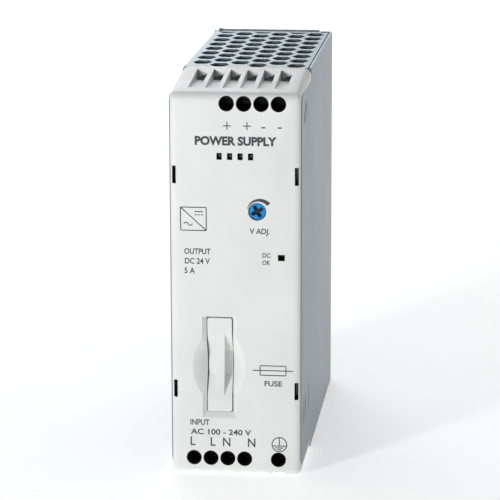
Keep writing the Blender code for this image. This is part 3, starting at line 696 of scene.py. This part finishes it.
def add_snap(bm, depth, z, wide=1.3, tall=1.9):
    """An oval dimple pressed into the right wall."""
    made = bmesh.ops.create_uvsphere(bm, u_segments=20, v_segments=12, radius=1)
    for vert in made["verts"]:
        x, y, height = vert.co
        vert.co = place(HALF + x * 0.35, depth + y * wide, z + height * tall)


def housing_lid():
    """Right wall and back, bent from one sheet. Two dimples near the front edge grip the moulding."""
    bm = bmesh.new()
    inner_r = BEND_R - SHEET
    outline = [(HALF - SHEET, SIDE_FRONT), (HALF, SIDE_FRONT)]
    outline += arc((HALF - BEND_R, CASE_DEPTH - BEND_R), BEND_R, 0, 90, 5)
    outline += [(-HALF, CASE_DEPTH), (-HALF, CASE_DEPTH - SHEET)]
    outline += arc((HALF - BEND_R, CASE_DEPTH - BEND_R), inner_r, 90, 0, 3)
    add_prism(bm, "Z", outline, 0, HEIGHT)
    lid = mesh_object("housing_lid_sheet", bm, LOOKS["case_sheet"], 0)

    def outside(b):
        add_prism(b, "X", side_outline(0), -HALF - 1, HALF + 1)

    def rear_lip(b):
        add_block(b, (-17.9, CASE_DEPTH - SHEET, HEIGHT - 2), (15.6, CASE_DEPTH, HEIGHT + LIP_RISE))
        add_block(b, (-18.4, CASE_DEPTH - SHEET - 0.9, HEIGHT - 0.6), (-17.6, CASE_DEPTH, HEIGHT + LIP_RISE + 0.35))

    def emboss(b):
        for step in range(4):
            add_snap(b, 8.2 + 2.2 * step, 111.4 + (1.5 if step % 2 else -1.5))
        for depth in (8.0, 13.5, 24.0):
            add_snap(b, depth, 18.5, 1.5, 4.6)

    apply_booleans(lid, [("INTERSECT", helper("outside", outside)), ("UNION", helper("rear_lip", rear_lip)),
                         ("DIFFERENCE", helper("emboss", emboss)), ("DIFFERENCE", helper("lid_holes", lid_holes))])
    tidy_surface(lid)
    soften(lid, 0.1, 2, 40)
    finish_piece(lid, "root", "case_sheet", "housing_lid")


# ---------------------------------------------------------------- fuse drawer and rotor

RIDGE_HALF = 1.4
SCOOP_DEPTH, SCOOP_FLOOR, SCOOP_MOUTH = 3.2, 3.0, 9.8


def fuse_drawer():
    """The drawer's front has a finger ridge between two ramped scoops, and a bay behind holds the fuse."""
    bm = bmesh.new()
    outline = rounded((DRAWER_LOW[0], DRAWER_LOW[2]), (DRAWER_HIGH[0], DRAWER_HIGH[2]), 0.6, 3)
    add_prism(bm, "Y", outline, DRAWER_LOW[1], DRAWER_HIGH[1])
    drawer = mesh_object("fuse_drawer_body", bm, LOOKS["drawer_moulding"], 0)
    face = DRAWER_LOW[1]

    def scoops(b):
        ramp_outline = [(face - 1, FUSE_Z - SCOOP_MOUTH - 1), (face, FUSE_Z - SCOOP_MOUTH)]
        ramp_outline += arc((face + SCOOP_DEPTH - 1.5, FUSE_Z - SCOOP_FLOOR), 1.5, 310, 360, 4)
        ramp_outline += arc((face + SCOOP_DEPTH - 1.5, FUSE_Z + SCOOP_FLOOR), 1.5, 0, 50, 4)
        ramp_outline += [(face, FUSE_Z + SCOOP_MOUTH), (face - 1, FUSE_Z + SCOOP_MOUTH + 1)]
        for side in (-1, 1):
            near, far = sorted((FUSE_X + side * RIDGE_HALF, FUSE_X + side * 6))
            add_prism(b, "X", ramp_outline, near, far)

    def bay(b):
        low, high = node_box("fuse_cap_lower")[0], node_box("fuse_cap_upper")[1]
        add_block(b, (FUSE_X - 6, low[1] - 0.3, low[2] - 0.3), (FUSE_X + 6, high[1] + 0.3, high[2] + 0.3))

    apply_booleans(drawer, [("DIFFERENCE", helper("scoops", scoops)), ("DIFFERENCE", helper("bay", bay))])
    tidy_surface(drawer)
    soften(drawer, 0.15, 3, 40)
    finish_piece(drawer, "fuse_drawer", "drawer_moulding", "fuse_drawer")


ROTOR_TILT = 30


def trimmer_rotor():
    """The adjuster: a domed disc with a tapered cross slot, resting a little turned."""
    low, high = node_box("trimmer_rotor")
    radius = (high[0] - low[0]) / 2
    bm = bmesh.new()
    profile = [(0, high[1]), (radius, high[1]), (radius, low[1] + 0.35)]
    profile += [(radius - 0.3 * (1 - math.cos(math.radians(a))), low[1] + 0.35 - 0.3 * math.sin(math.radians(a))) for a in (30, 60, 90)]
    profile += [(0, low[1])]
    sides = 48
    rings = []
    for reach, depth in profile:
        if reach == 0:
            rings.append([bm.verts.new(place(TRIMMER_X, depth, TRIMMER_Z))])
        else:
            rings.append([bm.verts.new(place(TRIMMER_X + x, depth, TRIMMER_Z + z)) for x, z in circle((0, 0), reach, sides)])
    for near, far in zip(rings, rings[1:]):
        for i in range(sides):
            a, b = i, (i + 1) % sides
            if len(near) == 1:
                bm.faces.new((near[0], far[b], far[a]))
            elif len(far) == 1:
                bm.faces.new((near[a], near[b], far[0]))
            else:
                bm.faces.new((near[a], near[b], far[b], far[a]))
    rotor = mesh_object("trimmer_rotor_disc", bm, LOOKS["trimmer_blue"], 0)

    def cross(b):
        for turn in (ROTOR_TILT, ROTOR_TILT + 90):
            c, s = math.cos(math.radians(turn)), math.sin(math.radians(turn))
            for tip in (-1, 1):
                wide, narrow, length = 0.68, 0.52, 1.95
                outline = [(-0.2, -wide), (length, -narrow), (length, narrow), (-0.2, wide)]
                outline = [(TRIMMER_X + tip * (c * u - s * v), TRIMMER_Z + tip * (s * u + c * v)) for u, v in outline]
                add_prism(b, "Y", outline, -1, low[1] + 1.3)

    apply_booleans(rotor, [("DIFFERENCE", helper("cross", cross))])
    tidy_surface(rotor)
    # Painted shade: the cross slot's sunk faces take the dark navy in place of the shadow in the slot.
    rotor.data.materials.append(SLOT_BLUE)
    for face in rotor.data.polygons:
        x, depth, z = face.center.x / MM, face.center.y / MM - FRONT, face.center.z / MM
        if low[1] + 0.2 < depth < high[1] - 0.1 and math.hypot(x - TRIMMER_X, z - TRIMMER_Z) < radius - 0.1:
            face.material_index = 1
    soften(rotor, 0.05, 2, 40)
    finish_piece(rotor, "trimmer_rotor", "trimmer_blue", "trimmer_rotor")


# ---------------------------------------------------------------- clip spring

COIL_WIRE, COIL_TURNS, COIL_DEAD = 0.22, 7, 0.8
COIL_STEPS, COIL_SIDES = 20, 10


def coil_height(turn, foot, top):
    """Height of the wire's centre after so many turns: the first and last turns lie flat on their neighbours."""
    dead_rise = COIL_DEAD * 2 * COIL_WIRE
    if turn < COIL_DEAD:
        return foot + 2 * COIL_WIRE * turn
    if turn > COIL_TURNS - COIL_DEAD:
        return top - 2 * COIL_WIRE * (COIL_TURNS - turn)
    share = (turn - COIL_DEAD) / (COIL_TURNS - 2 * COIL_DEAD)
    return foot + dead_rise + (top - foot - 2 * dead_rise) * share


def din_spring():
    """The clip's compression spring, coiled from the foot to the top of the CAD spring it replaces."""
    low, high = node_box("din_spring")
    x, depth, _ = middle("din_spring")
    reach = (high[0] - low[0]) / 2 - COIL_WIRE
    foot, top = low[2] + COIL_WIRE, high[2] - COIL_WIRE
    bm = bmesh.new()
    rings = []
    for step in range(COIL_TURNS * COIL_STEPS + 1):
        turn = step / COIL_STEPS
        c, d = math.cos(math.tau * turn), math.sin(math.tau * turn)
        height = coil_height(turn, foot, top)
        ring = []
        for side in range(COIL_SIDES):
            angle = math.tau * side / COIL_SIDES
            out, up = reach + COIL_WIRE * math.cos(angle), COIL_WIRE * math.sin(angle)
            ring.append(bm.verts.new(place(x + out * c, depth + out * d, height + up)))
        rings.append(ring)
    for near, far in zip(rings, rings[1:]):
        for i in range(COIL_SIDES):
            j = (i + 1) % COIL_SIDES
            bm.faces.new((near[i], near[j], far[j], far[i]))
    bm.faces.new(list(reversed(rings[0])))
    bm.faces.new(rings[-1])
    coil = mesh_object("din_spring_coil", bm, LOOKS["spring_steel"], 40)
    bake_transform(coil)
    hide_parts("din_spring")


# ---------------------------------------------------------------- printed legends

INK_BACK, INK_FRONT = 0.03, -INK_LIFT


def add_ink(bm, outline):
    add_prism(bm, "Y", outline, INK_FRONT, INK_BACK)


def add_bar(bm, start, end, width):
    """A straight printed line."""
    (x0, z0), (x1, z1) = start, end
    length = math.hypot(x1 - x0, z1 - z0)
    nx, nz = -(z1 - z0) / length * width / 2, (x1 - x0) / length * width / 2
    add_ink(bm, [(x0 + nx, z0 + nz), (x1 + nx, z1 + nz), (x1 - nx, z1 - nz), (x0 - nx, z0 - nz)])


def add_ring(bm, centre, radius, width, sides=48):
    inner, outer = circle(centre, radius - width / 2, sides), circle(centre, radius + width / 2, sides)
    corners = [(x, depth, z) for depth in (INK_FRONT, INK_BACK) for ring in (inner, outer) for x, z in ring]
    faces = []
    for i in range(sides):
        j = (i + 1) % sides
        a, b, c, d = i, j, sides + j, sides + i
        faces += [(a, b, c, d), (2 * sides + d, 2 * sides + c, 2 * sides + b, 2 * sides + a)]
        faces += [(a, 2 * sides + a, 2 * sides + b, b), (c, 2 * sides + c, 2 * sides + d, d)]
    add_solid(bm, corners, faces)


def add_text(bm, words, x, z, height, bold=0.0, width=None):
    """Lettering whose capitals are height tall, from its left end at x on the baseline z."""
    curve = bpy.data.curves.new("words", "FONT")
    curve.body = words
    curve.size = 1.0
    curve.offset = bold
    curve.resolution_u = 3
    curve.extrude = 0.5
    made = bpy.data.objects.new("words", curve)
    bpy.context.scene.collection.objects.link(made)
    bpy.context.view_layer.update()
    mesh = bpy.data.meshes.new_from_object(made.evaluated_get(bpy.context.evaluated_depsgraph_get()))
    scale = height / 0.69
    across = scale
    if width:
        span = max(v.co.x for v in mesh.vertices) - min(v.co.x for v in mesh.vertices)
        across = width / span
    for vert in mesh.vertices:
        u, v, w = vert.co
        vert.co = place(x + u * across, INK_BACK if w < 0 else INK_FRONT, z + v * scale)
    bm.from_mesh(mesh)
    bpy.data.objects.remove(made)
    bpy.data.meshes.remove(mesh)


LINE = 0.3


def legends():
    bm = bmesh.new()
    for x in (-2.4, 3.6):
        add_bar(bm, (x - 1.2, 108.7), (x + 1.2, 108.7), LINE)
        add_bar(bm, (x, 107.5), (x, 108.59), LINE)
        add_bar(bm, (x, 108.81), (x, 109.9), LINE)
    for x in (8.5, 13.4):
        add_bar(bm, (x - 0.55, 108.3), (x + 0.55, 108.3), 0.42)
    add_text(bm, "POWER SUPPLY", -12.2, 102.9, 2.45, 0.045, 24.6)
    add_text(bm, "V ADJ.", 4.4, 75.9, 1.65, 0.02, 6.0)
    add_text(bm, "DC", 8.1, 68.7, 1.35, 0.02, 2.4)
    add_text(bm, "OK", 8.1, 66.4, 1.35, 0.02, 2.4)
    add_text(bm, "OUTPUT", -15.6, 69.3, 1.7, 0.02, 8.0)
    add_text(bm, "DC 24 V", -15.5, 66.3, 1.7, 0.02, 7.6)
    add_text(bm, "5 A", -15.6, 63.3, 1.7, 0.02, 3.2)
    add_text(bm, "INPUT", -14.2, 15.6, 1.7, 0.02, 5.9)
    add_text(bm, "AC 100 - 240 V", -13.9, 12.6, 1.7, 0.02, 18.6)
    for letter, x in (("L", -14.3), ("L", -8.1), ("N", -4.3), ("N", 3.4)):
        add_text(bm, letter, x, 9.0, 2.7, 0.012, 1.5 if letter == "L" else 2.3)
    add_text(bm, "FUSE", 8.6, 28.5, 1.6, 0.02, 5.4)
    converter_symbol(bm)
    fuse_symbol(bm)
    earth_symbol(bm)
    sweep_mark(bm)
    made = mesh_object("front_legends", bm, INK, 0)
    finish_piece(made, "root", "front_moulding")


def converter_symbol(bm):
    """A square with a diagonal: a wave on one side, a solid line over a broken one on the other."""
    x0, x1, z0, z1 = -16.6, -8.8, 76.6, 83.7
    add_bar(bm, (x0, z0), (x0, z1), LINE)
    add_bar(bm, (x1, z0), (x1, z1), LINE)
    add_bar(bm, (x0 + 0.12, z0), (x1 - 0.12, z0), LINE)
    add_bar(bm, (x0 + 0.12, z1), (x1 - 0.12, z1), LINE)
    add_bar(bm, (x0 + 0.2, z1 - 0.2), (x1 - 0.2, z0 + 0.2), LINE)
    add_bar(bm, (-12.3, 82.4), (-9.8, 82.4), LINE)
    for i in range(3):
        add_bar(bm, (-12.3 + i * 0.95, 81.4), (-11.7 + i * 0.95, 81.4), LINE)
    wave = [(-15.6 + 2.6 * i / 12, 78.6 + 0.5 * math.sin(math.tau * i / 12)) for i in range(13)]
    for start, end in zip(wave, wave[1:]):
        add_bar(bm, start, (end[0] - 0.01, end[1]), LINE)


def fuse_symbol(bm):
    add_bar(bm, (5.1, 33.4), (17.5, 33.4), LINE)
    for start, end in (((7.4, 31.9), (7.4, 34.9)), ((15.3, 31.9), (15.3, 34.9)), ((7.5, 31.9), (15.2, 31.9)), ((7.5, 34.9), (15.2, 34.9))):
        add_bar(bm, start, end, LINE)


def earth_symbol(bm):
    x, z = TERMINAL_X[5] + 0.3, 10.0
    add_ring(bm, (x, z), 2.25, LINE)
    add_bar(bm, (x, z + 2.1), (x, z - 0.3), LINE)
    for drop, half in ((0.45, 2.0), (1.05, 1.25), (1.6, 0.6)):
        add_bar(bm, (x - half, z - drop), (x + half, z - drop), LINE)


def sweep_mark(bm):
    """A crescent over the adjuster that thickens clockwise."""
    steps, start, end = 24, 165, 38
    outer, inner = [], []
    for i in range(steps + 1):
        turn = math.radians(start + (end - start) * i / steps)
        thick = 0.08 + 1.25 * i / steps
        for ring, radius in ((outer, 3.35 + thick), (inner, 3.35)):
            ring.append((TRIMMER_X + 0.3 + radius * math.cos(turn), TRIMMER_Z - 0.2 + radius * math.sin(turn)))
    for i in range(steps):
        add_ink(bm, [outer[i], outer[i + 1], inner[i + 1], inner[i]])


# ---------------------------------------------------------------- carried-over CAD nodes

FINE = {"bevel": 0.12}
BEVELS = {"din_bracket": 0.35, "din_slider": 0.35, "main_board": 0.1, "transformer_core": 0.4,
          "transformer_winding": 0.5, "mains_filter_capacitor": 0.5, "bridge_rectifier": 0.4, "heatsink": 0.25,
          "power_transistor": 0.25, "output_rectifier": 0.25, "fuse_socket": 0.25, "trimmer_body": 0.25,
          "output_terminal_block": 0.2, "input_terminal_block": 0.2}


def dress_cad_nodes(replaced):
    slots = {row["node"]: row["material_slot"] for row in frame["record"]["subparts"]}
    for name, made in frame["nodes"].items():
        if name in replaced:
            continue
        made.data.materials.clear()
        made.data.materials.append(LOOKS[slots[name]])
        soften(made, BEVELS.get(name, FINE["bevel"]), 2, 40)


# ---------------------------------------------------------------- camera, light and floor

VIEW_TURN, VIEW_RISE, VIEW_ROLL = 6.57, 13.17, -0.15
VIEW_DISTANCE = 807.75
VIEW_AIM = (-1.343, 50.0, 59.14)
LENS = 181.06


def camera():
    turn, rise = math.radians(VIEW_TURN), math.radians(VIEW_RISE)
    back = Vector((math.sin(turn) * math.cos(rise), -math.cos(turn) * math.cos(rise), math.sin(rise)))
    data = bpy.data.cameras.new("camera")
    data.lens = LENS
    data.sensor_width = 36
    data.clip_end = 50
    made = bpy.data.objects.new("camera", data)
    bpy.context.scene.collection.objects.link(made)
    made.location = place(*VIEW_AIM) + back * VIEW_DISTANCE * MM
    facing = (-back).to_track_quat("-Z", "Y")
    made.rotation_euler = facing.to_euler()
    made.rotation_euler.rotate_axis("Z", math.radians(VIEW_ROLL))
    bpy.context.scene.camera = made


def light(name, kind, energy, size, spot, aim, colour=(1, 1, 1)):
    data = bpy.data.lights.new(name, kind)
    data.energy = energy
    data.color = colour
    if kind == "AREA":
        data.shape = "DISK"
        data.size = size
    else:
        data.angle = size
    made = bpy.data.objects.new(name, data)
    bpy.context.scene.collection.objects.link(made)
    made.location = spot
    made.rotation_euler = (Vector(aim) - Vector(spot)).to_track_quat("-Z", "Y").to_euler()


def studio():
    bm = bmesh.new()
    half, wall, height, bend = 3.0, 1.2, 3.0, 0.5
    profile = [(-half, 0)] + [(wall - bend + bend * math.sin(t), bend - bend * math.cos(t))
                              for t in [math.pi / 2 * i / 12 for i in range(13)]] + [(wall, height)]
    columns = [[bm.verts.new((x, y, z)) for y, z in profile] for x in (-half, half)]
    for i in range(len(profile) - 1):
        bm.faces.new((columns[0][i], columns[1][i], columns[1][i + 1], columns[0][i + 1]))
    paper, _, paper_surface = shader("studio_paper", (0.93, 0.93, 0.93), 0.9)
    paper_surface.inputs["Emission Color"].default_value = (1, 1, 1, 1)
    paper_surface.inputs["Emission Strength"].default_value = 0.42
    floor = mesh_object("studio_floor", bm, paper, 60, recalc=False)
    centre = (0, 0, 0.06)
    light("key", "AREA", 3.75, 0.12, (-0.50, -0.76, 0.21), centre)
    light("top", "AREA", 0.9, 0.5, (0.05, -0.25, 0.95), centre, (0.95, 0.98, 1.0))
    light("side", "AREA", 0.4, 0.5, (0.9, -0.5, 0.4), centre, (0.93, 0.97, 1.0))
    light("rear", "AREA", 1.9, 0.5, (-0.25, 0.80, 0.55), centre, (0.95, 0.98, 1.0))
    world = bpy.data.worlds.new("studio")
    bpy.context.scene.world = world
    world.use_nodes = True
    world.node_tree.nodes["Background"].inputs["Color"].default_value = (1, 1, 1, 1)
    world.node_tree.nodes["Background"].inputs["Strength"].default_value = 0.14
    bpy.context.scene.view_settings.view_transform = "Standard"


camera()
studio()
front_cover()
housing_tray()
housing_lid()
fuse_drawer()
trimmer_rotor()
din_spring()
legends()
dress_cad_nodes({"front_cover", "housing_tray", "housing_lid", "fuse_drawer", "trimmer_rotor", "din_spring"})
